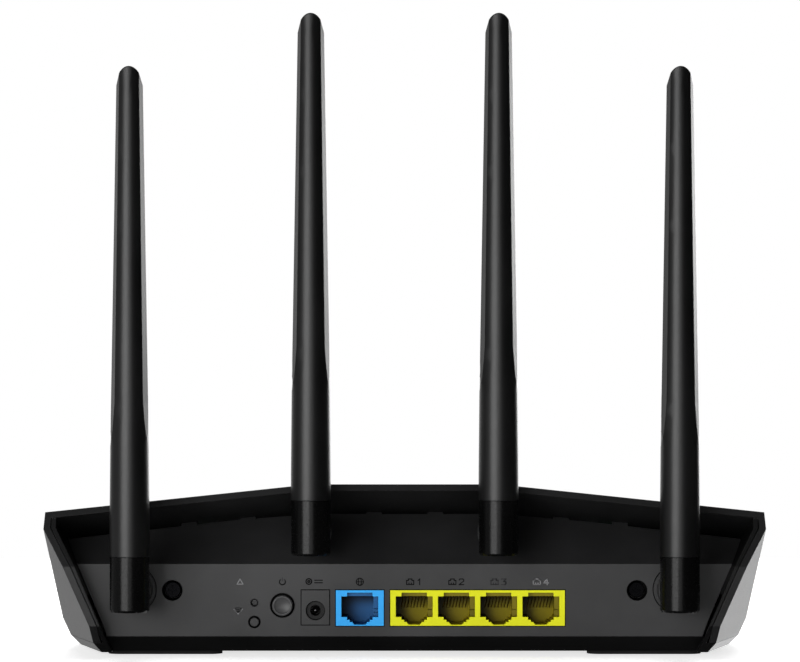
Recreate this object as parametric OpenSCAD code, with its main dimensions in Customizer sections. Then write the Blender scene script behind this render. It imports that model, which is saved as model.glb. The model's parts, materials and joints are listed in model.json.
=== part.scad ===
// Desktop wireless router: wedge-shaped case, recessed port panel and four folding antennas.
// Millimetres. +X is to the right as seen from the ports, +Y runs from the ports to the front edge,
// +Z is up, and the origin is at the middle of the footprint, on the table.

/* [Case] */
// Width across the two upper rear corners
body_w = 230; // [224:1:236]
// Depth from the rear edge of the side cheeks to the front edge
body_d = 130.7; // [128:0.1:134]
// Height of the rear edge of the roof
body_h = 55; // [54:0.2:56]
// Fall of the middle of the roof for each millimetre towards the front
roof_fall = 0.3057; // [0.29:0.0001:0.31]
// Wall thickness of the top cover
cover_wall = 2.1; // [1.9:0.1:2.3]
// Height of the case underside above the table
foot_h = 1.4; // [1.2:0.1:1.6]
// Depth of the port panel inside the cheeks
recess = 10; // [9:0.5:10.5]

/* [Antennas] */
// Radius of the collar and of the round foot of the radome
ant_r = 6.35; // [6.2:0.05:6.4]
// Length of the radome above its collar
radome_l = 154.4; // [120:0.1:165]
// Distance of an outer antenna from the middle
outer_x = 86.75; // [86:0.05:88]
// Distance of an inner antenna from the middle
inner_x = 29.8; // [29:0.1:31]
// Height of an outer antenna's pin
outer_z = 21.4; // [21:0.1:22]
// Height of an inner antenna's pin
inner_z = 38.8; // [38.6:0.1:39.2]
// How far an outer antenna's axis stands behind the cheeks
outer_back = 7; // [6.8:0.1:8]

/* [Ports and buttons] */
// Height of the top of the circuit board
board_z = 9.75; // [9.6:0.05:9.8]
// Height of the network sockets
jack_h = 11.35; // [11.3:0.05:11.8]
// Centre distance of the four ganged sockets
jack_pitch = 13.5; // [13.3:0.1:13.6]
// Height of the power button's centre
power_z = 16.25; // [16:0.05:16.8]
// Travel of the latching power button
power_travel = 1.6; // [1:0.1:1.8]

/* [Hidden] */
$fn = 64;
eps = 0.01;
big = 500;

// Front and rear: the outer antennas and the front edge are equally far from the origin.
front_y = (body_d + outer_back + ant_r) / 2;
cheek_y = front_y - body_d;
panel_y = cheek_y + recess;
panel_t = 2;
board_t = 1.6;

// Rear profile of the cheeks, as distance forward of cheek_y against height.
cheek_low_z = 10.3;
cheek_high_z = 29.2;
cheek_lean = 0.364;
cheek_undercut = 0.941;
roof_u = (body_h - cheek_high_z) * cheek_lean;

// The roof: a middle facet and a facet on each side.
roof_half = 30;
side_drop = 0.1152;

// The port panel stands up, and the panel above it leans forwards.
panel_low_z = 6.25;
panel_high_z = 29.5;
upper_lean = 1.6;
seam_z = 4.6;
floor_t = 2;
case_wall = 1.5;
gap = 0.15;

// Half spaces as [outward normal, point on the face].
roof_mid = [[0, roof_fall, 1], [0, cheek_y + roof_u, body_h]];
roof_left = [[-side_drop, roof_fall, 1], [-roof_half, cheek_y + roof_u, body_h]];
rear_upper = [[0, -1, cheek_lean], [0, cheek_y, cheek_high_z]];
rear_mid = [[0, -1, 0], [0, cheek_y, 0]];
rear_lower = [[0, -1, -cheek_undercut], [0, cheek_y, cheek_low_z]];
flank_left = [[-1, -0.3, -0.444], [-body_w / 2 + 6.5, cheek_y, cheek_high_z]];
side_left = [[-0.992, 0.1176, 0.033], [-body_w / 2, cheek_y + 4.33, 41.1]];
side_low_left = [[-1, 0.03, -0.48], [-body_w / 2 + 3.3, cheek_y + 39, 9.7]];
corner_left = [[-0.717, 0.697, -0.15], [-62, front_y, 18]];
nose = [[0, 1, -0.25], [0, front_y, body_h - roof_fall * (body_d - roof_u)]];
function flip(h) = [[-h[0].x, h[0].y, h[0].z], [-h[1].x, h[1].y, h[1].z]];
ROOF = [roof_mid, roof_left, flip(roof_left)];
WALLS = [flank_left, flip(flank_left), side_left, flip(side_left), side_low_left, flip(side_low_left),
         corner_left, flip(corner_left), nose];
REAR = [rear_upper, rear_mid, rear_lower];

// Inner edge of the cheeks as [distance from the middle, height].
cheek_edge = [[93.4, 1], [96.7, 10.3], [104.7, 29.2], [111, 41.2], [111, 60]];

// Sockets, from left to right: x of the middle and z.
jack_w = 15.3;
jack_d = 21;
wan_x = -14.35;
lan_x = 23.3;
lan_w = 3 * jack_pitch + jack_w;
dc_x = -28.55;
dc_w = 8.9;
dc_h = 11;
dc_z = 14.6;
window_gap = 0.2;
power_x = -39.1;
tact_x = -48.05;
wps_z = 10.95;
reset_z = 17.1;
rear_screw_x = 74.3;
rear_screw_z = 21.05;

// Antennas as [name, x, y, z, distance from the pin to the face that the hub turns on].
outer_y = cheek_y - outer_back;
inner_y = cheek_y + 1.5;
outer_face = panel_y - outer_y;
inner_face = 11;
ANTENNAS = [
    ["outer_left", -outer_x, outer_y, outer_z, outer_face],
    ["inner_left", -inner_x, inner_y, inner_z, inner_face],
    ["inner_right", inner_x, inner_y, inner_z, inner_face],
    ["outer_right", outer_x, outer_y, outer_z, outer_face],
];
collar_low = 6;
collar_high = 11.5;
hub_start = 6.6;
hub_r = 6.2;
shaft_r = 4;
flat_start = 60;
flank_run = 0.045;
front_run = 0.15;

// Fixings
board_posts = [[-63, -16], [63, -16], [-63, 32], [63, 32]];
case_posts = [[-99, -18], [99, -18], [-70, 48], [70, 48]];
keyholes = [[-55, 4], [55, 4]];
keyhole_r = 3.6;

// ---------- helpers ----------

function unit(v) = v / norm(v);

// Everything on the inner side of a face, with the face moved in by t.
module half(h, t = 0) {
    n = unit(h[0]);
    translate(h[1] - n * t)
        rotate([0, acos(n.z), atan2(n.y, n.x)])
            translate([-big / 2, -big / 2, -big])
                cube(big);
}

module within(faces, t = 0) {
    intersection_for(f = faces) half(f, t);
}

function mirrored(points) = [for (i = [len(points) - 1 : -1 : 0]) [-points[i].x, points[i].y]];

// The face below the seam that undercuts a wall at 45 degrees.
function undercut(h) =
    let (flat = norm([h[0].x, h[0].y]), out = [h[0].x, h[0].y, 0] / flat)
    [out - [0, 0, 1], [h[1].x, h[1].y, seam_z] + out * (h[0].z * (h[1].z - seam_z) / flat)];
PAN = [for (w = WALLS) undercut(w)];

// A box given by its corners.
module block(low, high) {
    translate(low) cube(high - low);
}

// A cylinder along +Y from y0 to y1, round x and z.
module along_y(x, z, y0, y1, r, fn = 64) {
    translate([x, y0, z]) rotate([-90, 0, 0]) cylinder(r = r, h = y1 - y0, $fn = fn);
}

module along_x(r, length, fn = 64) {
    rotate([0, 90, 0]) cylinder(r = r, h = length, center = true, $fn = fn);
}

// A slot with round ends, seen from above, along +X.
module slot2d(length, width) {
    square([length - width, width], center = true);
    for (s = [-1, 1]) translate([s * (length - width) / 2, 0]) circle(width / 2, $fn = 24);
}

// The space between the cheeks, narrower by t on each side.
module between_cheeks(y0, y1, t = 0) {
    points = [for (p = cheek_edge) [p.x - t, p.y]];
    translate([0, y1, 0]) rotate([90, 0, 0]) linear_extrude(y1 - y0)
        polygon(concat(points, mirrored(points)));
}

module pan_head(r, h) {
    cylinder(r1 = r, r2 = r * 0.86, h = h);
}

// A screw with a cross recess: head at z 0 to head_h, shank below.
module screw(head_r, head_h, shank_r, length) {
    difference() {
        union() {
            pan_head(head_r, head_h);
            translate([0, 0, -length]) cylinder(r = shank_r, h = length + eps);
        }
        for (a = [0, 90]) rotate(a)
            translate([-head_r * 0.55, -head_r * 0.13, head_h * 0.4])
                cube([head_r * 1.1, head_r * 0.26, head_h]);
    }
}

// ---------- case ----------

vent_n = 11;
vent_turn = 137.5;

// Cooling slots through one side of the roof, in line with the edge of its middle facet.
module roof_vents() {
    for (i = [0 : vent_n - 1])
        translate([-52 - 2.6 * i, cheek_y + 50 + 3.2 * i]) rotate(vent_turn - 90)
            slot2d(32 - 0.9 * i, 1.7);
}

module led_holes(r) {
    for (i = [-3 : 3]) translate([i * 8.5, front_y - 13, 0]) circle(r, $fn = 24);
}

module top_cover() color("#1c1c1e") {
    difference() {
        within(concat(ROOF, WALLS, REAR));
        within(concat(ROOF, WALLS), cover_wall);
        block([-big, -big, -big], [big, big, seam_z + 0.1]);
        linear_extrude(80) for (s = [0, 1]) mirror([s, 0]) roof_vents();
        linear_extrude(80) led_holes(1);
    }
    // Screw posts hang from the roof.
    for (p = case_posts) intersection() {
        within(ROOF, cover_wall - 0.5);
        translate([p.x, p.y, 5.4]) difference() {
            cylinder(r = 3.2, h = 60);
            translate([0, 0, -1]) cylinder(r = 1.25, h = 12);
        }
    }
}

module cheek_wall() {
    lip = [for (p = cheek_edge) [-p.x - case_wall, p.y]];
    intersection() {
        translate([0, panel_y + 26, 0]) rotate([90, 0, 0]) linear_extrude(recess + 30)
            polygon(concat([for (p = cheek_edge) [-p.x, p.y]], [for (i = [4 : -1 : 0]) lip[i]]));
        within(concat(ROOF, [flank_left, side_left, side_low_left]), cover_wall + gap);
        within(concat(REAR, PAN));
        half([[0, 0, -1], [0, 0, foot_h]]);
    }
}

// The sloping skirt below the port panel.
skirt_low_u = recess + 4;
module skirt(t0, t1) {
    translate([-120, 0, 0]) rotate([90, 0, 90]) linear_extrude(240)
        polygon([[cheek_y + skirt_low_u + t0, foot_h - eps], [panel_y + t0, panel_low_z],
                 [panel_y + t1, panel_low_z], [cheek_y + skirt_low_u + t1, foot_h - eps]]);
}

module floor_vents() {
    for (j = [0 : 2]) for (i = [0 : 11])
        translate([-44 + 8 * i, -22 + 23 * j]) rotate(90) slot2d(16, 2.2);
}

module keyhole() {
    circle(keyhole_r, $fn = 64);
    translate([0, 5.5]) rotate(90) slot2d(13, 3.8);
}

module bottom_case() color("#161617") {
    difference() {
        union() {
                    // Floor pan with an undercut rim
            intersection() {
                within(concat(PAN, [rear_lower]));
                block([-big / 4, -big / 4, foot_h], [big / 4, big / 4, seam_z]);
            }
            for (s = [0, 1]) mirror([s, 0, 0]) cheek_wall();
            // Lip that stands inside the cover
            difference() {
                intersection() {
                    within(WALLS, cover_wall + gap);
                    block([-big / 4, panel_y + 5, seam_z - eps], [big / 4, front_y, 8.4]);
                }
                within(WALLS, cover_wall + gap + case_wall);
            }
        }
        // Inside of the pan
        intersection() {
            within(concat(PAN, WALLS), cover_wall + gap + case_wall);
            block([-big / 4, -big / 4, foot_h + floor_t], [big / 4, big / 4, 20]);
        }
        // Everything behind the skirt, between the cheeks
        intersection() {
            between_cheeks(-90, panel_y + 6);
            translate([-120, 0, 0]) rotate([90, 0, 90]) linear_extrude(240)
                polygon([[cheek_y - 5, 0], [cheek_y + skirt_low_u + 1, 0],
                         [cheek_y + skirt_low_u, foot_h], [panel_y, panel_low_z], [panel_y, 60],
                         [cheek_y - 5, 60]]);
        }
        linear_extrude(20) floor_vents();
        for (k = keyholes) translate([k.x, k.y, 0]) linear_extrude(20) keyhole();
        for (p = case_posts) translate([p.x, p.y, 0]) {
            cylinder(r = 1.7, h = 20);
            cylinder(r = 3.1, h = foot_h + 1.2);
        }
    }
    intersection() {
        skirt(0, 1.8);
        between_cheeks(-90, 90, -0.5);
        half([[0, 0, -1], [0, 0, foot_h]]);
    }
    for (p = board_posts) translate([p.x, p.y, foot_h + floor_t - eps]) difference() {
        cylinder(r = 3, h = board_z - board_t - foot_h - floor_t);
        translate([0, 0, 0.6]) cylinder(r = 1.1, h = 20);
    }
    // Posts that the rear panel is screwed to
    for (s = [-1, 1]) difference() {
        block([s * rear_screw_x - 4.5, panel_y + 6.2, foot_h + floor_t - eps],
              [s * rear_screw_x + 4.5, panel_y + 13, rear_screw_z + 4.5]);
        along_y(s * rear_screw_x, rear_screw_z, panel_y + 5, panel_y + 12, 1.2);
    }
}

// Height of the roof's underside above the leaning panel's top edge
vent_gap = 0.9;
panel_top_left = [[-0.1055, 0, 1], [-37.4, 0, 44.3]];
tab_x = [10, 51, 70, 90];

module leaning_profile(t) {
    rise = 30;
    back = panel_y + 1.5 * t;
    polygon([[panel_y, panel_low_z + 0.1], [panel_y, panel_high_z],
             [panel_y + upper_lean * rise, panel_high_z + rise],
             [back + upper_lean * rise, panel_high_z + rise],
             [panel_y + t, panel_high_z - 0.5 * t / upper_lean], [panel_y + t, panel_low_z + 0.1]]);
}

module boss(a, r, y0, y1) {
    along_y(a[1], a[3], a[2] + y0, a[2] + y1, r);
}

module rear_panel() color("#2b2b2d") {
    difference() {
        union() {
            intersection() {
                translate([-120, 0, 0]) rotate([90, 0, 90]) linear_extrude(240) leaning_profile(panel_t);
                between_cheeks(-90, 90, 0.1);
                union() {
                    // Each side's top edge falls away from the roof.
                    intersection() {
                        within(ROOF, cover_wall + vent_gap);
                        half(panel_top_left);
                        half(flip(panel_top_left));
                    }
                    // Tabs reach up to the roof between the cooling gaps.
                    intersection() {
                        within(ROOF, cover_wall + 0.1);
                        for (x = tab_x) for (s = [-1, 1]) block([s * x - 2.5, -90, 0], [s * x + 2.5, 90, 60]);
                    }
                }
            }
            // Inner antennas stand on round bosses that grow out of the leaning panel.
            for (a = [ANTENNAS[1], ANTENNAS[2]]) intersection() {
                boss(a, ant_r, inner_face, 36);
                within(ROOF, cover_wall + 0.4);
            }
            for (a = [ANTENNAS[0], ANTENNAS[3]]) boss(a, 9, outer_face + 1, outer_face + 5);
            for (s = [-1, 1]) along_y(s * rear_screw_x, rear_screw_z, panel_y + 1, panel_y + 6, 5);
        }
        for (a = [ANTENNAS[1], ANTENNAS[2]]) {
            boss(a, shaft_r + 0.08, inner_face - 1, 50);
            boss(a, ant_r - 1, inner_face + 4, 50);
        }
        for (a = [ANTENNAS[0], ANTENNAS[3]]) {
            boss(a, shaft_r + 0.08, outer_face - 1, outer_face + 9);
            boss(a, 7.4, outer_face - 1, outer_face + 1);
        }
        // Screw recesses
        for (s = [-1, 1]) {
            along_y(s * rear_screw_x, rear_screw_z, panel_y - 1, panel_y + 4.5, 3.3);
            along_y(s * rear_screw_x, rear_screw_z, panel_y, panel_y + 9, 1.7);
        }
        // Openings for the sockets and buttons
        panel_window(wan_x, jack_w, board_z);
        panel_window(lan_x, lan_w, board_z);
        panel_window(dc_x, dc_w, board_z + jack_h - dc_h);
        along_y(power_x, power_z, panel_y - 1, panel_y + 5, 3.95);
        along_y(tact_x, wps_z, panel_y - 1, panel_y + 5, 2);
        along_y(tact_x, reset_z, panel_y - 1, panel_y + 5, 1.3);
    }
}

// A window in the port panel with a narrow gap all round the socket that shows in it.
module panel_window(x, w, z) {
    block([x - w / 2 - window_gap, panel_y - 1, z - window_gap],
          [x + w / 2 + window_gap, panel_y + 5, board_z + jack_h + window_gap]);
}

module rear_feet() color("#202022") {
    for (s = [-1, 1]) translate([s * 77.2, cheek_y + 22, 0]) linear_extrude(foot_h) slot2d(36.8, 8);
}

module front_feet() color("#202022") {
    for (s = [-1, 1]) translate([s * 46, front_y - 16, 0]) linear_extrude(foot_h) slot2d(30, 8);
}

module rating_plate() color("#b8b8ba") {
    translate([0, 33, foot_h - 0.2]) linear_extrude(0.2) square([70, 24], center = true);
}

module case_screws() color("#3a3a3c") {
    for (p = case_posts) translate([p.x, p.y, foot_h + 1.15]) mirror([0, 0, 1]) screw(2.7, 1.1, 1.2, 8);
}

module rear_screws() color("#303033") {
    for (s = [-1, 1]) translate([s * rear_screw_x, panel_y + 4.45, rear_screw_z]) rotate([90, 0, 0])
        screw(2.7, 1.5, 1.15, 7);
}

// ---------- electronics ----------

board_half = 69;
board_y0 = panel_y + 2.5;
board_y1 = 40;

module main_board() color("#143c28") {
    translate([0, 0, board_z - board_t]) linear_extrude(board_t) difference() {
        polygon([[-board_half, board_y0], [board_half, board_y0], [board_half, board_y1 - 12],
                 [board_half - 12, board_y1], [12 - board_half, board_y1], [-board_half, board_y1 - 12]]);
        for (p = board_posts) translate(p) circle(1.5, $fn = 32);
        translate([tact_x - 3.2, board_y0 - 1]) square([6.4, 3]);
    }
}

module board_screws() color("#8a8a90") {
    for (p = board_posts) translate([p.x, p.y, board_z + 0.02]) screw(2.4, 1.3, 1, 5);
}

module cpu_chip() color("#28282a") {
    block([-10, -6, board_z], [10, 14, board_z + 1.6]);
}

module cpu_heatsink() color("#9a9ca0") {
    z = board_z + 1.65;
    block([-22, -17, z], [22, 25, z + 2]);
    for (i = [0 : 10]) translate([-21.4 + 4.16 * i, -17, z + 2 - eps]) cube([1.2, 42, 7]);
}

module rf_shields() color("#b4b6ba") {
    for (x = [-46, 46]) difference() {
        block([x - 17, -8, board_z], [x + 17, 26, board_z + 3]);
        block([x - 16.7, -7.7, board_z - 1], [x + 16.7, 25.7, board_z + 2.7]);
        for (i = [-2 : 2]) for (j = [-2 : 2])
            translate([x + 6 * i, 9 + 6 * j, board_z + 2]) cylinder(r = 0.8, h = 2, $fn = 16);
    }
}

module magnetics() color("#1b1b1d") {
    for (x = [-14.35, 3, 16.5, 30, 43.5])
        block([x - 6, panel_y + 23, board_z], [x + 6, panel_y + 30, board_z + 5]);
}

module capacitors() color("#2a3350") {
    for (p = [[-38, -20, 4], [-28, -18, 3.2], [-58, -28, 3.2]])
        translate([p.x, p.y, board_z]) cylinder(r = p.z, h = 2.6 * p.z);
}

module memory_chips() color("#232325") {
    block([-18, 28, board_z], [-6, 37, board_z + 1.1]);
    block([2, 28, board_z], [14, 37, board_z + 1.1]);
}

module status_leds() color("#e8e8e0") {
    for (i = [-3 : 3]) block([i * 8.5 - 0.8, 37.6, board_z], [i * 8.5 + 0.8, 38.8, board_z + 0.7]);
}

// A clear bar that carries the light from the board to the roof.
module light_guide() color("#dfe6ea") {
    top = body_h - roof_fall * (front_y - 13 - cheek_y - roof_u);
    difference() {
        union() {
            block([-29, front_y - 15, foot_h + floor_t], [29, front_y - 11, top - cover_wall - 2.4]);
            translate([0, 0, board_z]) linear_extrude(top - board_z + 1) led_holes(0.9);
            for (i = [-3 : 3])
                block([i * 8.5 - 1, 39.4, board_z + 0.1], [i * 8.5 + 1, front_y - 14, board_z + 2.1]);
        }
        difference() {
            block([-40, -big / 2, -big / 2], [40, big / 2, big / 2]);
            half(roof_mid, 0.05);
        }
    }
}

LEAD_STARTS = [[-54, 30.5], [-38, 30.5], [38, 30.5], [54, 30.5]];

module coax_sockets() color("#c9a44a") {
    for (p = LEAD_STARTS) translate([p.x, p.y, board_z]) {
        cylinder(r = 1.3, h = 1.2, $fn = 24);
    }
}

// A tube of radius r swept along smooth points.
lead_r = 0.65;
sides = 8;
function bezier(p, t) =
    pow(1 - t, 3) * p[0] + 3 * t * pow(1 - t, 2) * p[1] + 3 * t * t * (1 - t) * p[2] + pow(t, 3) * p[3];
function ring(c, d, r) =
    let (w = unit(d), u = unit(cross(abs(w.z) < 0.9 ? [0, 0, 1] : [1, 0, 0], w)), v = cross(w, u))
    [for (k = [0 : sides - 1]) c + r * (cos(360 * k / sides) * u + sin(360 * k / sides) * v)];
module tube(path, r) {
    n = len(path);
    rings = [for (i = [0 : n - 1]) ring(path[i], path[min(i + 1, n - 1)] - path[max(i - 1, 0)], r)];
    polyhedron(
        points = [for (q = rings) each q],
        faces = concat(
            [[for (k = [0 : sides - 1]) k]],
            [[for (k = [sides - 1 : -1 : 0]) (n - 1) * sides + k]],
            [for (i = [0 : n - 2]) for (k = [0 : sides - 1]) each [
                [i * sides + k, (i + 1) * sides + k, (i + 1) * sides + (k + 1) % sides],
                [i * sides + k, (i + 1) * sides + (k + 1) % sides, i * sides + (k + 1) % sides]]]
        )
    );
}

// Aerial leads, from the board up and back to the hub bores.
function lead_path(i) =
    let (a = ANTENNAS[i], s = LEAD_STARTS[i], end_y = a[2] + a[4] + 3,
         from = [s.x, s.y, board_z + 1.3], to = [a[1], end_y, a[3]])
    [for (k = [0 : 16]) bezier([from, from + [0, 0, 14], to + [0, 22, 0], to], k / 16)];

module coax_leads() color("#3a3a3e") {
    for (i = [0 : 3]) tube(lead_path(i), lead_r);
}

// ---------- sockets ----------

// The mouth of a network socket, latch side down: half width against height from its base.
mouth = [[1.9, 0.35], [1.9, 0.7], [2.3, 0.7], [2.3, 1.2], [3.2, 1.2], [3.2, 1.9], [4.1, 1.9], [4.1, 2.8],
         [5.9, 2.8], [5.9, 9.4], [4.05, 9.4], [4.05, 10.6]];

module socket_mouth(x) {
    translate([x, 0, board_z]) rotate([90, 0, 0])
        polygon_prism(concat(mouth, mirrored(mouth)), panel_y + 13.5);
}

module polygon_prism(points, y1) {
    translate([0, 0, -y1]) linear_extrude(y1 - panel_y + 2) polygon(points);
}

jack_y0 = panel_y - 0.2;

module wan_jack() color("#2a9be0") {
    difference() {
        block([wan_x - jack_w / 2, jack_y0, board_z],
              [wan_x + jack_w / 2, jack_y0 + jack_d, board_z + jack_h]);
        socket_mouth(wan_x);
    }
}

module lan_jack() color("#d8d820") {
    difference() {
        block([lan_x - lan_w / 2, jack_y0, board_z],
              [lan_x + lan_w / 2, jack_y0 + jack_d, board_z + jack_h]);
        for (i = [-1.5 : 1.5]) socket_mouth(lan_x + i * jack_pitch);
    }
}

// Eight sprung wires that slope down and back from the roof of a socket.
module contact_set(x) {
    for (i = [-3.5 : 3.5])
        translate([x + i * 1.02, panel_y + 2.6, board_z + 10.2]) rotate([-24, 0, 0])
            block([-0.2, 0, -0.16], [0.2, 11.93, 0.16]);
}

module wan_contacts() color("#c8a850") contact_set(wan_x);
module lan_contacts() color("#c8a850") for (i = [-1.5 : 1.5]) contact_set(lan_x + i * jack_pitch);

module dc_jack() color("#232325") {
    difference() {
        block([dc_x - dc_w / 2, jack_y0, board_z + jack_h - dc_h],
              [dc_x + dc_w / 2, jack_y0 + 13.5, board_z + jack_h]);
        along_y(dc_x, dc_z, jack_y0 - 1, jack_y0 + 9.5, 3.1);
    }
    block([dc_x - 3.5, jack_y0 + 3, board_z], [dc_x + 3.5, jack_y0 + 13, board_z + jack_h - dc_h + eps]);
}

module dc_jack_pin() color("#c0c0c4") {
    along_y(dc_x, dc_z, jack_y0 + 1.4, jack_y0 + 9.5, 1);
}

// ---------- buttons ----------

module power_button() color("#2d2d2f") {
    difference() {
        union() {
            along_y(power_x, power_z, panel_y - 1.7, panel_y + 3, 3.3);
            along_y(power_x, power_z, panel_y + 2.9, panel_y + 3.9, 5);
            along_y(power_x, power_z, panel_y + 3.8, panel_y + 9, 1.5);
        }
        // Dished face
        translate([power_x, panel_y - 8.9, power_z]) sphere(r = 7.8, $fn = 64);
    }
}

module power_switch() color("#202022") {
    y = panel_y + 5.8 + power_travel;
    difference() {
        block([power_x - 4.2, y, board_z], [power_x + 4.2, y + 12, power_z + 4.2]);
        along_y(power_x, power_z, y - 1, panel_y + 9.8 + power_travel, 1.65);
    }
}

module wps_button() color("#2d2d2f") {
    along_y(tact_x, wps_z, panel_y - 0.5, panel_y + 3, 1.5);
    along_y(tact_x, wps_z, panel_y + 2.9, panel_y + 3.5, 2.4);
}

module wps_switch() color("#202022") {
    block([tact_x - 3, panel_y + 4.6, board_z], [tact_x + 3, panel_y + 8, wps_z + 2.9]);
}

module reset_button() color("#505054") {
    along_y(tact_x, reset_z, panel_y + 1.2, panel_y + 4.2, 0.95);
}

module reset_switch() color("#2b2b2e") {
    block([tact_x - 3, panel_y + 4.8, wps_z + 3.1], [tact_x + 3, panel_y + 8.2, reset_z + 2.6]);
    block([tact_x - 2, panel_y + 8.1, board_z], [tact_x + 2, panel_y + 9.4, reset_z + 2.6]);
}

// ---------- antennas, drawn round their pin ----------

module hub(face) color("#131314") {
    outer = face > 14;
    flange_r = outer ? 7.2 : ant_r;
    difference() {
        union() {
            along_x(5.1, 5);
            block([-2.5, 0, -5.1], [2.5, hub_start + 0.5, 5.1]);
            along_y(0, 0, hub_start, face - 0.3, hub_r);
            along_y(0, 0, face - 0.5, face + (outer ? 0.9 : -0.1), flange_r);
            along_y(0, 0, face - 0.5, face + 6, shaft_r);
        }
        along_x(1.3, 20, 32);
        along_y(0, 0, 9, face + 10, 1.4, 32);
        // Groove for the clip
        difference() {
            along_y(0, 0, face + 5 - (outer ? 0 : 1) + 0.05, face + 5.9 - (outer ? 0 : 1), shaft_r + 1);
            along_y(0, 0, face, face + 8, shaft_r - 0.6);
        }
    }
}

module hub_clip(face) color("#a0a2a8") {
    y = face + 5 - (face > 14 ? 0 : 1) + 0.1;
    difference() {
        along_y(0, 0, y, y + 0.7, 5.1);
        along_y(0, 0, y - 1, y + 2, shaft_r - 0.55);
        block([-2.6, y - 1, -8], [2.6, y + 2, 0]);
    }
}

module collar() color("#0e0e0f") {
    difference() {
        union() {
            translate([0, 0, -collar_low]) cylinder(r1 = ant_r - 0.6, r2 = ant_r - 0.1, h = 0.7);
            translate([0, 0, 0.7 - collar_low]) cylinder(r = ant_r - 0.1, h = collar_low + collar_high - 0.7);
            translate([0, 0, collar_high - eps]) cylinder(r = 4.6, h = 8);
        }
        block([-2.7, -5.3, -20], [2.7, 20, 5.4]);
        along_x(1.28, 20, 32);
        translate([0, 0, 5]) cylinder(r = 1.6, h = 20, $fn = 32);
        // The lower front is round about the pin, so that it turns clear of the hub.
        difference() {
            block([-10, 0, -10], [10, 20, 0]);
            along_x(ant_r - 0.1, 30);
        }
    }
}

module pin() color("#85868c") along_x(1.25, 11.4, 32);

tip_z = collar_high + radome_l;
foot_taper_z = 20;
taper_z = 46;
taper_r = 6.1;
tip_r = 4.1;

// A face on the radome at distance d0 from the axis where the flats start, and d1 at the tip.
function radome_face(x, y, d0, d1) =
    let (n = [x, y, (d0 - d1) / (tip_z - flat_start)])
    [n, [x * d0, y * d0, flat_start]];

module radome_cut(x, y, d0, d1, run) {
    difference() {
        translate([0, 0, taper_z - 24]) cylinder(r = 12, h = radome_l);
        half(radome_face(x, y, d0, d1));
        // Below the flat, the cut runs out through the round foot.
        half([[x, y, run], [x * d0, y * d0, flat_start]]);
    }
}

module radome() color("#18181a") {
    difference() {
        union() {
            translate([0, 0, collar_high + 0.05]) cylinder(r = ant_r, h = foot_taper_z - collar_high);
            translate([0, 0, foot_taper_z]) cylinder(r1 = ant_r, r2 = taper_r, h = taper_z - foot_taper_z);
            translate([0, 0, taper_z]) cylinder(r1 = taper_r, r2 = tip_r, h = tip_z - taper_z);
        }
        radome_cut(0.933, -0.36, 5.55, 3.85, flank_run);
        radome_cut(-0.933, -0.36, 5.55, 3.85, flank_run);
        radome_cut(0, 1, 4.6, 2.9, front_run);
        // Slanting tip, highest at the rear
        difference() {
            translate([0, 0, tip_z - 20]) cylinder(r = 12, h = 30);
            half([[0, 0.829, 0.559], [0, -tip_r, tip_z]]);
        }
        translate([0, 0, collar_high - 1]) cylinder(r = 4.65, h = 9.6);
        translate([0, 0, collar_high + 8]) cylinder(r1 = 3.1, r2 = 1.9, h = radome_l - 30);
    }
}

module element() color("#b87333") {
    block([-1.9, -0.4, collar_high + 9], [1.9, 0.4, collar_high + 9 + 0.62 * radome_l]);
}

// ---------- nodes ----------

top_cover();
bottom_case();
rear_panel();
rear_feet();
front_feet();
rating_plate();
case_screws();
rear_screws();
light_guide();
main_board();
board_screws();
cpu_heatsink();
cpu_chip();
rf_shields();
magnetics();
capacitors();
memory_chips();
status_leds();
coax_sockets();
coax_leads();
power_switch();
wps_switch();
reset_switch();
dc_jack();
dc_jack_pin();
wan_jack();
wan_contacts();
lan_jack();
lan_contacts();
power_button();
wps_button();
reset_button();
for (a = ANTENNAS) {
    translate([a[1], a[2], a[3]]) hub(a[4]);
    translate([a[1], a[2], a[3]]) hub_clip(a[4]);
    translate([a[1], a[2], a[3]]) collar();
    translate([a[1], a[2], a[3]]) pin();
    translate([a[1], a[2], a[3]]) radome();
    translate([a[1], a[2], a[3]]) element();
}
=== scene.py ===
import math
import json

import bmesh
import bpy
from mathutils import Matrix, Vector


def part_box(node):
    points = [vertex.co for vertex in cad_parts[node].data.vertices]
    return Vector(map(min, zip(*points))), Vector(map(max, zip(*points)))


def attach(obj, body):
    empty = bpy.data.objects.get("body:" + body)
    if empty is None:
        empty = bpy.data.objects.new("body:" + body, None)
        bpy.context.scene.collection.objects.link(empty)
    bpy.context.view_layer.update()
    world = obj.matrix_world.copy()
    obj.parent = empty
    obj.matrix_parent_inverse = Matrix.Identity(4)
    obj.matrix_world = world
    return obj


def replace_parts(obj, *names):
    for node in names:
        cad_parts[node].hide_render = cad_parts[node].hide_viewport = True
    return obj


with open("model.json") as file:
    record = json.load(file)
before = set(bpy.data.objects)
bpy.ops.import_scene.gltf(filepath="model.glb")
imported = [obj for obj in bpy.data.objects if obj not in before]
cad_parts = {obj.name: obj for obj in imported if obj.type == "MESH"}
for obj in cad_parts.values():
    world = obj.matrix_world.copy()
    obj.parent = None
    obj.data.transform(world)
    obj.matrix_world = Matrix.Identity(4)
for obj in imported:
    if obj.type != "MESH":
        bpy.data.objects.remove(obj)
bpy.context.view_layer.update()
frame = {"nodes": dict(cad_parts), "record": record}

MM = 0.001
PANEL_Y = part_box("rear_panel")[0][1]
CHEEK_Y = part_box("top_cover")[0][1]
JACK_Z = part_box("lan_jack")[0][2]
JACK_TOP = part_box("lan_jack")[1][2]
WAN_X = (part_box("wan_jack")[0][0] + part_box("wan_jack")[1][0]) / 2
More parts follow.
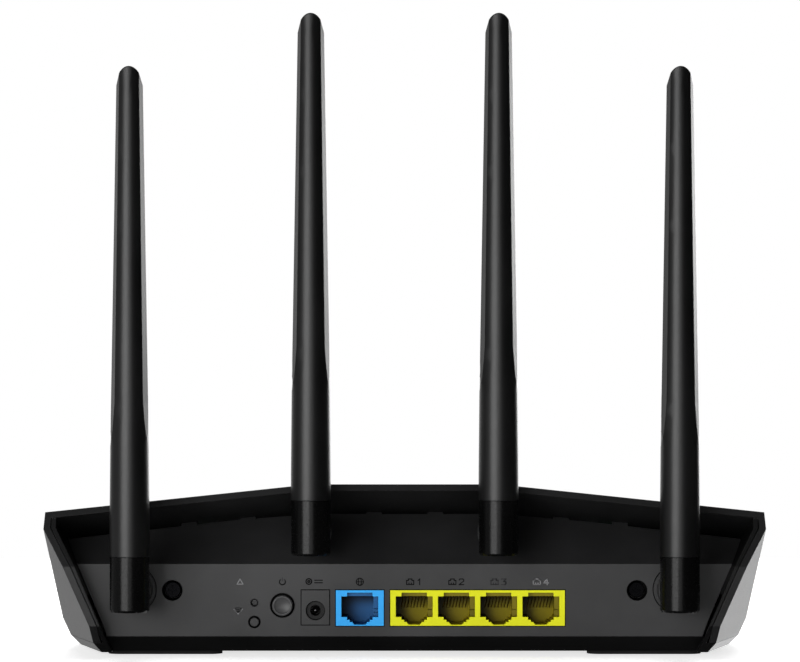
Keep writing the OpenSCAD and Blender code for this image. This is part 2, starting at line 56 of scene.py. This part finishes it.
# Distance between yellow sockets, and the width over which the blue socket is shaded, in metres
LAN_PITCH = 0.0135
WAN_PITCH = 0.0153
LAN_COUNT = 4
LAN_MIDDLE = (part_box("lan_jack")[0][0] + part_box("lan_jack")[1][0]) / 2
LAN_X = LAN_MIDDLE - (LAN_COUNT - 1) / 2 * LAN_PITCH
# Socket plastic at the face, and the painted shade colour far inside each mouth
BLUE, PAINTED_SHADE_BLUE = (0.034, 0.375, 0.86), (0.035, 0.17, 0.44)
YELLOW, PAINTED_SHADE_YELLOW = (0.69, 0.70, 0.008), (0.40, 0.32, 0.004)


# ---------- camera, light and floor ----------

def aim(obj, target):
    obj.rotation_mode = "QUATERNION"
    obj.rotation_quaternion = (Vector(target) - obj.location).to_track_quat("-Z", "Y")


def make_camera():
    """Looks straight at the ports, level, from 1.2 m behind the cheeks."""
    distance = 1.2
    seen_width = 0.2537
    middle_x, height = -0.0015, 0.104
    data = bpy.data.cameras.new("camera")
    data.sensor_width = 36
    data.lens = data.sensor_width * distance / seen_width
    data.clip_start, data.clip_end = 0.05, 50
    cam = bpy.data.objects.new("camera", data)
    cam.location = (middle_x, CHEEK_Y - distance, height)
    bpy.context.scene.collection.objects.link(cam)
    aim(cam, (middle_x, 0, height))
    bpy.context.scene.camera = cam


def area_light(name, place, target, width, height, power):
    data = bpy.data.lights.new(name, "AREA")
    data.shape = "RECTANGLE"
    data.size, data.size_y = width, height
    data.energy = power
    light = bpy.data.objects.new(name, data)
    light.location = place
    bpy.context.scene.collection.objects.link(light)
    aim(light, target)


def make_world():
    """White where the camera sees it. What lights the object is brighter behind it and to its right."""
    world = bpy.data.worlds.new("studio")
    bpy.context.scene.world = world
    world.use_nodes = True
    g = Graph(world.node_tree)
    g.tree.nodes.clear()
    coord = g.node("ShaderNodeTexCoord")
    axes = g.node("ShaderNodeSeparateXYZ")
    g.link(coord, "Generated", axes, "Vector")

    backdrop = g.smooth_range(axes, "Y", 0.52, 0.82, 0.015, 1.3)
    right = g.smooth_range(axes, "X", 0.08, 0.3, 1.0, 4.2)
    fade = g.smooth_range(axes, "X", 0.38, 0.54, 1.0, 0.1)
    left = g.smooth_range(axes, "X", -0.4, -0.95, 0.0, 0.4)
    behind = g.node("ShaderNodeMath", operation="MULTIPLY")
    g.link(backdrop, "Result", behind, 0)
    g.link(right, "Result", behind, 1)
    banded = g.node("ShaderNodeMath", operation="MULTIPLY")
    g.link(behind, "Value", banded, 0)
    g.link(fade, "Result", banded, 1)
    level = g.node("ShaderNodeMath", operation="MAXIMUM")
    g.link(banded, "Value", level, 0)
    g.link(left, "Result", level, 1)
    seen = g.node("ShaderNodeLightPath")
    dim = g.node("ShaderNodeBackground")
    g.link(level, "Value", dim, "Strength")
    bright = g.node("ShaderNodeBackground")
    bright.inputs["Color"].default_value = (1, 1, 1, 1)
    mix = g.node("ShaderNodeMixShader")
    g.link(seen, "Is Camera Ray", mix, 0)
    g.link(dim, "Background", mix, 1)
    g.link(bright, "Background", mix, 2)
    out = g.node("ShaderNodeOutputWorld")
    g.link(mix, "Shader", out, "Surface")


def make_floor():
    bm = bmesh.new()
    bmesh.ops.create_circle(bm, cap_ends=True, segments=96, radius=0.5)
    mesh = bpy.data.meshes.new("floor")
    bm.to_mesh(mesh)
    bm.free()
    floor = bpy.data.objects.new("floor", mesh)
    bpy.context.scene.collection.objects.link(floor)
    m, g, shader = new_material("floor_paper")
    grain = g.noise(40, detail=3)
    tone = g.ramp(grain, [(0.3, (0.86, 0.86, 0.86)), (0.7, (0.9, 0.9, 0.9))])
    g.link(tone, "Color", shader, "Base Color")
    shader.inputs["Roughness"].default_value = 0.9
    shader.inputs["Specular IOR Level"].default_value = 0.1
    shader.inputs["Emission Color"].default_value = (1, 1, 1, 1)
    shader.inputs["Emission Strength"].default_value = 0.72
    mesh.materials.append(m)
    floor.visible_glossy = False


# ---------- material tools ----------

class Graph:
    def __init__(self, tree):
        self.tree = tree

    def node(self, kind, **settings):
        made = self.tree.nodes.new(kind)
        for key, value in settings.items():
            setattr(made, key, value)
        return made

    def link(self, a, a_socket, b, b_socket):
        self.tree.links.new(a.outputs[a_socket], b.inputs[b_socket])

    def smooth_range(self, source, socket, start, end, low, high):
        """Goes smoothly from low to high while the source goes from start to end."""
        made = self.node("ShaderNodeMapRange", interpolation_type="SMOOTHSTEP")
        for name, value in zip(("From Min", "From Max", "To Min", "To Max"), (start, end, low, high)):
            made.inputs[name].default_value = value
        self.link(source, socket, made, "Value")
        return made

    def noise(self, scale, detail=2.0, rough=0.5, stretch=None):
        """Noise in the object's own metres: scale is features to the metre."""
        coord = self.node("ShaderNodeTexCoord")
        mapping = self.node("ShaderNodeMapping")
        self.link(coord, "Object", mapping, "Vector")
        if stretch:
            mapping.inputs["Scale"].default_value = stretch
        made = self.node("ShaderNodeTexNoise")
        made.inputs["Scale"].default_value = scale
        made.inputs["Detail"].default_value = detail
        made.inputs["Roughness"].default_value = rough
        self.link(mapping, "Vector", made, "Vector")
        return made

    def ramp(self, source, stops, socket="Fac"):
        made = self.node("ShaderNodeValToRGB")
        elements = made.color_ramp.elements
        while len(elements) < len(stops):
            elements.new(0.5)
        for element, (place, value) in zip(elements, stops):
            element.position = place
            element.color = (*value, 1) if isinstance(value, tuple) else (value, value, value, 1)
        self.link(source, socket, made, "Fac")
        return made


def new_material(name):
    m = bpy.data.materials.new(name)
    m.use_nodes = True
    g = Graph(m.node_tree)
    return m, g, g.tree.nodes["Principled BSDF"]


def grey(v):
    return (v, v, v * 1.03)


def plastic(name, colour, rough, grain_mm, depth_mm, spec=0.5, edge_mm=0.3, spread=0.25):
    """Moulded plastic: fine grain in height and gloss, slow changes of tone, slightly rounded edges."""
    m, g, shader = new_material(name)
    shader.inputs["Specular IOR Level"].default_value = spec
    slow = g.noise(35, detail=4)
    low = tuple(c * (1 - spread) for c in colour)
    high = tuple(c * (1 + spread) for c in colour)
    tone = g.ramp(slow, [(0.35, low), (0.65, high)])
    g.link(tone, "Color", shader, "Base Color")
    fine = g.noise(1000 / grain_mm, detail=2, rough=0.6)
    gloss = g.ramp(fine, [(0.3, max(rough - 0.05, 0.02)), (0.7, min(rough + 0.05, 1.0))])
    g.link(gloss, "Color", shader, "Roughness")
    bump = g.node("ShaderNodeBump")
    bump.inputs["Strength"].default_value = 0.6
    bump.inputs["Distance"].default_value = depth_mm * MM
    g.link(fine, "Fac", bump, "Height")
    if edge_mm:
        soft = g.node("ShaderNodeBevel", samples=4)
        soft.inputs["Radius"].default_value = edge_mm * MM
        g.link(soft, "Normal", bump, "Normal")
    g.link(bump, "Normal", shader, "Normal")
    return m


def metal(name, colour, rough, brushed=None):
    """Metal with slow changes of tone. A brushed one has its grain stretched along the small number."""
    grain_mm = 0.4
    m, g, shader = new_material(name)
    shader.inputs["Metallic"].default_value = 1.0
    slow = g.noise(120, detail=3)
    tone = g.ramp(slow, [(0.3, tuple(c * 0.85 for c in colour)), (0.7, colour)])
    g.link(tone, "Color", shader, "Base Color")
    fine = g.noise(1000 / grain_mm, detail=2, stretch=brushed)
    gloss = g.ramp(fine, [(0.3, rough * 0.75), (0.7, rough * 1.25)])
    g.link(gloss, "Color", shader, "Roughness")
    bump = g.node("ShaderNodeBump")
    bump.inputs["Strength"].default_value = 0.3
    bump.inputs["Distance"].default_value = 0.01 * MM
    g.link(fine, "Fac", bump, "Height")
    g.link(bump, "Normal", shader, "Normal")
    return m


def clear(name, colour):
    m = plastic(name, colour, 0.15, 0.6, 0.004, spread=0.05)
    shader = m.node_tree.nodes["Principled BSDF"]
    shader.inputs["Transmission Weight"].default_value = 0.7
    return m


def board(name):
    """Solder mask over copper tracks."""
    m, g, shader = new_material(name)
    tracks = g.node("ShaderNodeTexBrick", offset=0.37, squash=0.6)
    tracks.inputs["Scale"].default_value = 260
    tracks.inputs["Mortar Size"].default_value = 0.06
    tracks.inputs["Color1"].default_value = (0.008, 0.055, 0.028, 1)
    tracks.inputs["Color2"].default_value = (0.010, 0.075, 0.036, 1)
    tracks.inputs["Mortar"].default_value = (0.02, 0.13, 0.06, 1)
    coord = g.node("ShaderNodeTexCoord")
    g.link(coord, "Object", tracks, "Vector")
    g.link(tracks, "Color", shader, "Base Color")
    fine = g.noise(900)
    gloss = g.ramp(fine, [(0.3, 0.25), (0.7, 0.4)])
    g.link(gloss, "Color", shader, "Roughness")
    bump = g.node("ShaderNodeBump")
    bump.inputs["Strength"].default_value = 0.4
    bump.inputs["Distance"].default_value = 0.03 * MM
    g.link(tracks, "Fac", bump, "Height")
    g.link(bump, "Normal", shader, "Normal")
    return m


def socket_plastic(name, colour, painted_shade, first_x, pitch):
    """Socket plastic. Inside each mouth shade is painted into the colour: darker with depth, upward and to
    the left.
    """
    m = plastic(name, colour, 0.42, 0.4, 0.004, spec=0.14, edge_mm=0.12, spread=0.03)
    g = Graph(m.node_tree)
    tree = m.node_tree
    shader = tree.nodes["Principled BSDF"]
    tone = shader.inputs["Base Color"].links[0].from_node
    coord = g.node("ShaderNodeTexCoord")
    axes = g.node("ShaderNodeSeparateXYZ")
    g.link(coord, "Object", axes, "Vector")

    # Painted shade: darker with depth in the mouth, towards the top and to the left of each socket.
    inside = g.smooth_range(axes, "Y", PANEL_Y + 0.4 * MM, PANEL_Y + 2.2 * MM, 0.0, 1.0)
    top = g.smooth_range(axes, "Z", JACK_Z + 4.0 * MM, JACK_Z + 9.3 * MM, 1.0, 0.06)
    moved = g.node("ShaderNodeMath", operation="SUBTRACT")
    moved.inputs[1].default_value = first_x - pitch / 2
    g.link(axes, "X", moved, 0)
    wrapped = g.node("ShaderNodeMath", operation="MODULO")
    wrapped.inputs[1].default_value = pitch
    g.link(moved, "Value", wrapped, 0)
    left = g.smooth_range(wrapped, "Value", pitch * 0.10, pitch * 0.5, 0.10, 1.0)
    shade = g.node("ShaderNodeMath", operation="MULTIPLY")
    g.link(top, "Result", shade, 0)
    g.link(left, "Result", shade, 1)
    # Painted shade colour: near black up and to the left, the given shade colour low and to the right.
    dark = g.node("ShaderNodeMix", data_type="RGBA", blend_type="MIX")
    dark.inputs["A"].default_value = (0.002, 0.002, 0.0015, 1)
    dark.inputs["B"].default_value = (*painted_shade, 1)
    tree.links.new(shade.outputs["Value"], dark.inputs["Factor"])
    mix = g.node("ShaderNodeMix", data_type="RGBA", blend_type="MIX")
    tree.links.new(inside.outputs["Result"], mix.inputs["Factor"])
    tree.links.new(tone.outputs["Color"], mix.inputs["A"])
    tree.links.new(dark.outputs["Result"], mix.inputs["B"])
    tree.links.new(mix.outputs["Result"], shader.inputs["Base Color"])
    return m


def make_materials():
    """Every material of the object, by name."""
    return {
        "roof_plastic": plastic("roof_plastic", grey(0.009), 0.42, 0.30, 0.020, spec=0.30),
        "base_plastic": plastic("base_plastic", grey(0.003), 0.45, 0.30, 0.020, spec=0.24),
        "panel_plastic": plastic("panel_plastic", grey(0.026), 0.48, 0.26, 0.014, 0.42, edge_mm=0.2),
        "foot_rubber": plastic("foot_rubber", grey(0.010), 0.7, 0.35, 0.03, spec=0.2),
        "label_film": plastic("label_film", grey(0.45), 0.4, 0.5, 0.004, edge_mm=0, spread=0.03),
        "black_screw": metal("black_screw", (0.004, 0.004, 0.0045), 0.32),
        "clear_guide": clear("clear_guide", (0.85, 0.88, 0.9)),
        "board_green": board("board_green"),
        "bright_screw": metal("bright_screw", (0.5, 0.5, 0.52), 0.28),
        "inlet_pin": metal("inlet_pin", (0.4, 0.4, 0.41), 0.28),
        "heatsink_metal": metal("heatsink_metal", (0.66, 0.67, 0.69), 0.4, brushed=(1, 0.05, 1)),
        "chip_black": plastic("chip_black", grey(0.02), 0.55, 0.12, 0.006, edge_mm=0.1),
        "shield_tin": metal("shield_tin", (0.66, 0.66, 0.67), 0.3, brushed=(0.05, 1, 1)),
        "capacitor_can": plastic("capacitor_can", (0.02, 0.035, 0.1), 0.3, 0.5, 0.004, edge_mm=0.2),
        "led_white": plastic("led_white", (0.8, 0.78, 0.66), 0.3, 0.3, 0.003, edge_mm=0.1, spread=0.05),
        "gold_contact": metal("gold_contact", (0.30, 0.20, 0.07), 0.35),
        "lead_jacket": plastic("lead_jacket", grey(0.03), 0.35, 0.3, 0.004, edge_mm=0),
        "jack_black": plastic("jack_black", grey(0.026), 0.48, 0.3, 0.010, spec=0.42, edge_mm=0.12),
        "inlet_black": plastic("inlet_black", grey(0.006), 0.42, 0.3, 0.006, spec=0.22, edge_mm=0.12),
        "jack_blue": socket_plastic("jack_blue", BLUE, PAINTED_SHADE_BLUE, WAN_X, WAN_PITCH),
        "jack_yellow": socket_plastic("jack_yellow", YELLOW, PAINTED_SHADE_YELLOW, LAN_X, LAN_PITCH),
        # The guides inside the sockets take darker copies of the socket colours: painted shade inside the
        # mouths.
        "guide_blue": plastic("guide_blue", (0.02, 0.12, 0.30), 0.4, 0.4, 0.004, 0.14, edge_mm=0.1),
        "guide_yellow": plastic("guide_yellow", (0.16, 0.13, 0.002), 0.4, 0.4, 0.004, 0.14, edge_mm=0.1),
        "button_plastic": plastic("button_plastic", grey(0.035), 0.42, 0.25, 0.006, edge_mm=0.2),
        "gap_black": plastic("gap_black", grey(0.0015), 0.8, 0.4, 0.01, spec=0.05, edge_mm=0),
        "mark_ink": plastic("mark_ink", grey(0.004), 0.6, 0.2, 0.004, spec=0.1, edge_mm=0),
        "mark_ink_mid": plastic("mark_ink_mid", grey(0.028), 0.6, 0.2, 0.004, spec=0.1, edge_mm=0),
        "mark_ink_pale": plastic("mark_ink_pale", grey(0.2), 0.6, 0.2, 0.004, spec=0.1, edge_mm=0),
        "hub_plastic": plastic("hub_plastic", grey(0.022), 0.46, 0.3, 0.010, spec=0.4),
        "collar_gloss": plastic("collar_gloss", grey(0.002), 0.24, 0.5, 0.002, spec=0.16, edge_mm=0.35),
        "radome_satin": plastic("radome_satin", grey(0.004), 0.38, 0.24, 0.006, spec=0.42, edge_mm=0.3),
        "element_copper": metal("element_copper", (0.75, 0.42, 0.24), 0.3),
    }


def dress_cad(materials):
    slots = {s["node"]: s["material_slot"] for s in frame["record"]["subparts"]}
    for name, obj in frame["nodes"].items():
        obj.data.materials.clear()
        obj.data.materials.append(materials["inlet_pin" if name == "dc_jack_pin" else slots[name]])


def lights():
    area_light("key", (-0.75, -1.4, 0.12), (0, -0.06, 0.1), 0.95, 0.62, 13.5)
    area_light("front_fill", (-0.12, -1.95, 0.1), (0, -0.06, 0.1), 1.0, 0.4, 4)
    area_light("overhead", (0, 0.35, 1.5), (0, 0.1, 0), 1.4, 1.0, 20)
    area_light("rim_panel", (0.66, 0.955, 0.2), (0, -0.06, 0.14), 0.4, 0.24, 2.4)


# ---------- detail pieces ----------

def piece(name, bm, material, body, smooth=True):
    """Turns a bmesh in metres into an object that rides on a body."""
    bmesh.ops.remove_doubles(bm, verts=bm.verts, dist=1e-7)
    bmesh.ops.recalc_face_normals(bm, faces=bm.faces)
    mesh = bpy.data.meshes.new(name)
    bm.to_mesh(mesh)
    bm.free()
    mesh.materials.append(MATERIALS[material])
    obj = bpy.data.objects.new(name, mesh)
    bpy.context.scene.collection.objects.link(obj)
    if smooth:
        for face in mesh.polygons:
            face.use_smooth = True
        mesh.set_sharp_from_angle(angle=math.radians(35))
    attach(obj, body)
    return obj


def revolve(bm, profile, centre, steps=64, closed=True):
    """Turns (radius, depth) points, in mm, round an axis along Y through centre."""
    rings = []
    for radius, depth in profile:
        if radius < 1e-6:
            rings.append([bm.verts.new(centre + Vector((0, depth * MM, 0)))])
            continue
        rings.append([
            bm.verts.new(centre + Vector((
                radius * MM * math.cos(2 * math.pi * k / steps), depth * MM,
                radius * MM * math.sin(2 * math.pi * k / steps))))
            for k in range(steps)
        ])
    pairs = list(zip(rings, rings[1:])) + ([(rings[-1], rings[0])] if closed else [])
    for a, b in pairs:
        for k in range(steps):
            n = (k + 1) % steps
            if len(a) == 1 and len(b) == 1:
                continue
            if len(a) == 1:
                bm.faces.new((a[0], b[k], b[n]))
            elif len(b) == 1:
                bm.faces.new((a[k], b[0], a[n]))
            else:
                bm.faces.new((a[k], b[k], b[n], a[n]))


def arc(cx, cy, radius, start, end, steps):
    """Points along an arc, angles in degrees."""
    return [
        (cx + radius * math.cos(math.radians(start + (end - start) * k / steps)),
         cy + radius * math.sin(math.radians(start + (end - start) * k / steps)))
        for k in range(steps + 1)
    ]


def centre_of(node):
    low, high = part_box(node)
    return Vector(((low[0] + high[0]) / 2, PANEL_Y, (low[2] + high[2]) / 2))


def build_power_cap():
    """Cap of the power button: a shallow dish inside a rounded rim, on a flange and a stem."""
    ball, sunk = 7.8, 0.95
    dish = [(r, math.sqrt(ball ** 2 - r ** 2) - ball - sunk) for r in (0.8, 1.6, 2.2, 2.5)]
    rim = [(2.54, -1.5), (2.6, -1.56), (2.92, -1.58), (3.0, -1.58), (3.14, -1.52), (3.25, -1.36)]
    flange = [(3.25, 2.9), (5.0, 2.9), (5.0, 3.9)]
    stem = [(1.5, 3.9), (1.5, 8.98), (0, 8.98)]
    bm = bmesh.new()
    revolve(bm, [(0, -sunk)] + dish + rim + flange + stem, centre_of("power_button"), closed=False)
    obj = piece("power_button_cap", bm, "button_plastic", "body_power_button")
    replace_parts(obj, "power_button")


def build_wps_cap():
    """Cap of the pairing button: flat with a rounded edge, on a flange."""
    face = [(0, -0.5), (1.24, -0.5), (1.28, -0.5), (1.37, -0.45), (1.4, -0.3)]
    flange = [(1.4, 2.9), (2.4, 2.9), (2.4, 3.5), (0, 3.5)]
    bm = bmesh.new()
    revolve(bm, face + flange, centre_of("wps_button"), closed=False)
    obj = piece("wps_button_cap", bm, "panel_plastic", "body_wps_button")
    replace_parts(obj, "wps_button")


def build_reset_cap():
    """Cap of the reset button, sunk in its pinhole."""
    profile = [(0, 1.2), (0.7, 1.2), (0.74, 1.2), (0.9, 1.26), (0.94, 1.4), (0.94, 4.2), (0, 4.2)]
    bm = bmesh.new()
    revolve(bm, profile, centre_of("reset_button"), closed=False)
    obj = piece("reset_button_cap", bm, "panel_plastic", "body_reset_button")
    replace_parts(obj, "reset_button")


def build_gaskets():
    """Rings that close the gap round each button."""
    thick = 0.6
    for name, inner, outer, depth in (("power", 3.36, 3.94, 0.5), ("wps", 1.46, 1.99, 0.4)):
        bm = bmesh.new()
        ring = [(inner, depth), (outer, depth), (outer, depth + thick), (inner, depth + thick)]
        revolve(bm, ring, centre_of(name + "_button"))
        piece(name + "_gasket", bm, "gap_black", "case")
    bm = bmesh.new()
    funnel = [(1.0, 0.9), (1.12, 0.45), (1.29, 0.2), (1.29, 1.5), (1.0, 1.5)]
    revolve(bm, funnel, centre_of("reset_button"))
    piece("reset_gasket", bm, "panel_plastic", "case")


def build_screw_well_painted_shade():
    """Dark lining of the two wells of the rear screws: a near-black sheet that paints shade into these
    recesses.
    """
    head_radius = 2.7 * MM
    mouth = [(3.02, 0.5), (3.24, 0.3), (3.28, 0.3)]
    wall = [(3.28, 4.4), (2.76, 4.4), (2.76, 3.2), (3.0, 2.9)]
    low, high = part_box("rear_screws")
    z = (low[2] + high[2]) / 2
    bm = bmesh.new()
    for x in (low[0] + head_radius, high[0] - head_radius):
        revolve(bm, mouth + wall, Vector((x, PANEL_Y, z)))
    piece("screw_well_painted_shade", bm, "gap_black", "case")


def build_hub_seams():
    """Dark joint ring round the hub of each outer antenna."""
    axis_above_collar_foot = 6 * MM
    ring = [(7.22, -0.03), (7.5, -0.03), (7.5, 0.02), (7.22, 0.02)]
    for side in ("outer_left", "outer_right"):
        low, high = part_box("collar_" + side)
        bm = bmesh.new()
        revolve(bm, ring, Vector(((low[0] + high[0]) / 2, PANEL_Y, low[2] + axis_above_collar_foot)))
        piece("hub_seam_" + side, bm, "gap_black", "case")


def build_inlet():
    """Sleeve of the power inlet and its rounded pin."""
    pin = centre_of("dc_jack_pin")
    lip = [(1.62, 1.1), (1.75, 0.95), (2.8, 0.95), (3.0, 0.8), (3.07, 0.8)]
    bm = bmesh.new()
    revolve(bm, lip + [(3.07, 9.2), (1.62, 9.2)], pin)
    piece("dc_inlet_sleeve", bm, "inlet_black", "case")
    tip = [(0, 1.25), (0.22, 1.28), (0.38, 1.42), (0.55, 1.9), (0.95, 3.0), (1.0, 3.4)]
    bm = bmesh.new()
    revolve(bm, tip + [(1.0, 9.28), (0, 9.28)], pin, closed=False)
    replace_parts(piece("dc_inlet_pin", bm, "inlet_pin", "case"), "dc_jack_pin")


def box_into(bm, low, high):
    """A box between two corners, in mm."""
    low, high = Vector(low) * MM, Vector(high) * MM
    for v in bmesh.ops.create_cube(bm, size=1.0)["verts"]:
        v.co = Vector([(low[i] + high[i]) / 2 + v.co[i] * (high[i] - low[i]) for i in range(3)])


def wire_into(bm, points, radius, sides=8):
    """A round wire through points, in mm, with capped ends."""
    pts = [Vector(p) * MM for p in points]
    rings = []
    for i, p in enumerate(pts):
        along = (pts[min(i + 1, len(pts) - 1)] - pts[max(i - 1, 0)]).normalized()
        across = Vector((1, 0, 0))
        up = along.cross(across).normalized()
        rings.append([
            bm.verts.new(p + radius * MM * (across * math.cos(2 * math.pi * k / sides)
                                            + up * math.sin(2 * math.pi * k / sides)))
            for k in range(sides)
        ])
    for a, b in zip(rings, rings[1:]):
        for k in range(sides):
            bm.faces.new((a[k], b[k], b[(k + 1) % sides], a[(k + 1) % sides]))
    bm.faces.new(rings[0])
    bm.faces.new(rings[-1][::-1])


def socket_details(name, x, base_z, material, splits, wires, wires_show):
    """Inside of one network socket, in mm: step above, ribbed right wall and spring wires."""
    contact_count, contact_pitch, wire_radius = 8, 1.02, 0.17
    rib_gap = 0.1
    y = PANEL_Y / MM
    bm = bmesh.new()
    # Step and ribs take the given darker guide colour: painted shade inside the mouth.
    box_into(bm, (x - 4.0, y + 1.9, base_z + 9.36), (x + 4.0, y + 2.6, base_z + 10.57))
    levels = [2.85] + splits + [9.36]
    for low, high in zip(levels, levels[1:]):
        near = (x + 4.35, y + 2.0, base_z + low + rib_gap)
        box_into(bm, near, (x + 5.86, y + 9, base_z + high - rib_gap))
    piece(name + "_guides", bm, material, "case", smooth=False)
    for i in range(contact_count):
        wx = x + (i - (contact_count - 1) / 2) * contact_pitch
        points = [(wx + 0.1, y + 12.8, base_z + 10.2), (wx + 0.1, y + 3.6, base_z + 10.2)]
        if wires_show:
            bend = arc(0.5, 0, 0.6, 100, 230, 6)
            points += [(wx + 0.1, y + 3.2 + dy, base_z + 9.6 + dz) for dy, dz in bend]
            points += [(wx, y + 4.6, base_z + 8.6), (wx - 0.15, y + 5.6, base_z + 7.6),
                       (wx - 0.4, y + 6.4, base_z + 6.5), (wx - 0.6, y + 7.0, base_z + 5.4)]
        wire_into(wires, points, wire_radius)


def window_seam(name, node):
    """Dark joint line between the port panel and a socket that shows in it."""
    low, high = (Vector(corner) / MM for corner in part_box(node))
    inlet_height = 11
    w = 0.27
    front, back = PANEL_Y / MM - 0.03, PANEL_Y / MM + 0.02
    top = JACK_TOP / MM
    bottom = low.z if node != "dc_jack" else top - inlet_height
    left, right = low.x, high.x
    bm = bmesh.new()
    box_into(bm, (left - w, front, bottom - w), (left, back, top + w))
    box_into(bm, (right, front, bottom - w), (right + w, back, top + w))
    box_into(bm, (left, front, bottom - w), (right, back, bottom))
    box_into(bm, (left, front, top), (right, back, top + w))
    piece(name, bm, "gap_black", "case", smooth=False)


def build_sockets():
    for node in ("wan_jack", "lan_jack", "dc_jack"):
        window_seam(node + "_seam", node)
    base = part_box("wan_jack")[0][2] / MM
    wires = bmesh.new()
    socket_details("wan_socket", WAN_X / MM, base, "guide_blue", [4.2, 5.3], wires, False)
    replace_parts(piece("wan_socket_wires", wires, "gold_contact", "case"), "wan_contacts")
    wires = bmesh.new()
    for i in range(LAN_COUNT):
        x = (LAN_X + i * LAN_PITCH) / MM
        socket_details("lan_socket_%d" % (i + 1), x, base, "guide_yellow", [5.0], wires, True)
    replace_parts(piece("lan_socket_wires", wires, "gold_contact", "case"), "lan_contacts")


def ring_strokes(radius, start=0, end=360):
    return arc(0, 0, radius, start, end, 28)


# Strokes of the printed marks, in mm about each mark's middle.
DIGITS = {
    1: [[(-0.4, 0.5), (0.15, 1.0), (0.15, -1.0)]],
    2: [[(-0.8, 0.65), (-0.5, 1.0), (0.5, 1.0), (0.8, 0.65), (0.8, 0.25), (-0.8, -1.0), (0.8, -1.0)]],
    3: [[(-0.8, 1.0), (0.8, 1.0), (0.0, 0.15), (0.5, 0.15), (0.8, -0.2), (0.8, -0.65), (0.5, -1.0),
         (-0.8, -1.0)]],
    4: [[(0.45, -1.0), (0.45, 1.0), (-0.85, -0.4), (0.9, -0.4)]],
}


def print_mark(name, x, z, strokes, width, material):
    """A thin printed mark on the port panel."""
    bm = bmesh.new()
    front, back = PANEL_Y - 0.04 * MM, PANEL_Y + 0.02 * MM
    for stroke in strokes:
        for a, b in zip(stroke, stroke[1:]):
            a, b = Vector(a), Vector(b)
            along = (b - a).normalized() * width / 2
            side = Vector((-along.y, along.x))
            corners = [a - along - side, b + along - side, b + along + side, a - along + side]
            face = bm.faces.new([bm.verts.new(((x + c.x) * MM, front, (z + c.y) * MM)) for c in corners])
            made = bmesh.ops.extrude_face_region(bm, geom=[face])["geom"]
            for v in made:
                if isinstance(v, bmesh.types.BMVert):
                    v.co.y = back
    piece(name, bm, material, "case", smooth=False)


def scaled(strokes, factor, shift=0.0):
    return [[(x * factor + shift, z * factor) for x, z in stroke] for stroke in strokes]


SOCKET_SIGN = [
    [(-1.2, -0.9), (1.2, -0.9), (1.2, 0.45), (0.6, 0.45), (0.6, 0.95), (-0.6, 0.95), (-0.6, 0.45),
     (-1.2, 0.45), (-1.2, -0.9)],
    [(-0.4, -0.45), (-0.4, -0.9)],
    [(0.4, -0.45), (0.4, -0.9)],
]


def build_marks():
    """Generic icons and digits above the ports and beside the buttons."""
    z = 23.8
    power = centre_of("power_button") / MM
    wps = centre_of("wps_button") / MM
    inlet = centre_of("dc_jack") / MM
    wan = centre_of("wan_jack") / MM
    sign = [ring_strokes(0.95, 130, 410), [(0, 0.3), (0, 1.25)]]
    print_mark("mark_power", power.x, z, sign, 0.3, "mark_ink_mid")
    sign = [[(-0.2, 0.5), (2.2, 0.5)], [(-0.2, -0.3), (0.4, -0.3)], [(0.7, -0.3), (1.3, -0.3)],
            [(1.6, -0.3), (2.2, -0.3)]]
    plug = [arc(-2.1, 0.1, 0.9, 0, 360, 20), arc(-2.1, 0.1, 0.3, 0, 360, 10)]
    print_mark("mark_inlet", inlet.x, z, sign + plug, 0.34, "mark_ink")
    globe = [ring_strokes(1.15), [(-1.15, 0), (1.15, 0)],
             [(0.5 * math.cos(t / 10 * math.pi), 1.15 * math.sin(t / 10 * math.pi)) for t in range(21)]]
    print_mark("mark_wan", wan.x, z, globe, 0.26, "mark_ink")
    for i, ink in enumerate(("mark_ink", "mark_ink", "mark_ink_mid", "mark_ink_pale")):
        strokes = scaled(SOCKET_SIGN, 0.95, -1.3) + scaled(DIGITS[i + 1], 0.9, 1.6)
        print_mark("mark_lan_%d" % (i + 1), (LAN_X + i * LAN_PITCH) / MM, z, strokes, 0.34, ink)
    dot = [[(-0.12, -0.85), (0.12, -0.85)]]
    waves = [arc(0, -0.9, r, 48, 132, 10) for r in (0.75, 1.35, 1.95)] + dot
    print_mark("mark_wps", wps.x - 5.2, wps.z + 3.5, waves, 0.3, "mark_ink_pale")
    reset = centre_of("reset_button") / MM
    triangle = [[(0, 0.9), (0.95, -0.75), (-0.95, -0.75), (0, 0.9)]]
    print_mark("mark_reset", reset.x - 4.6, z, triangle, 0.28, "mark_ink_pale")


def view_settings():
    scene = bpy.context.scene
    scene.view_settings.view_transform = "Standard"
    scene.view_settings.look = "None"


make_camera()
make_world()
lights()
view_settings()
MATERIALS = make_materials()
dress_cad(MATERIALS)
make_floor()
build_power_cap()
build_wps_cap()
build_reset_cap()
build_gaskets()
build_screw_well_painted_shade()
build_hub_seams()
build_inlet()
build_sockets()
build_marks()
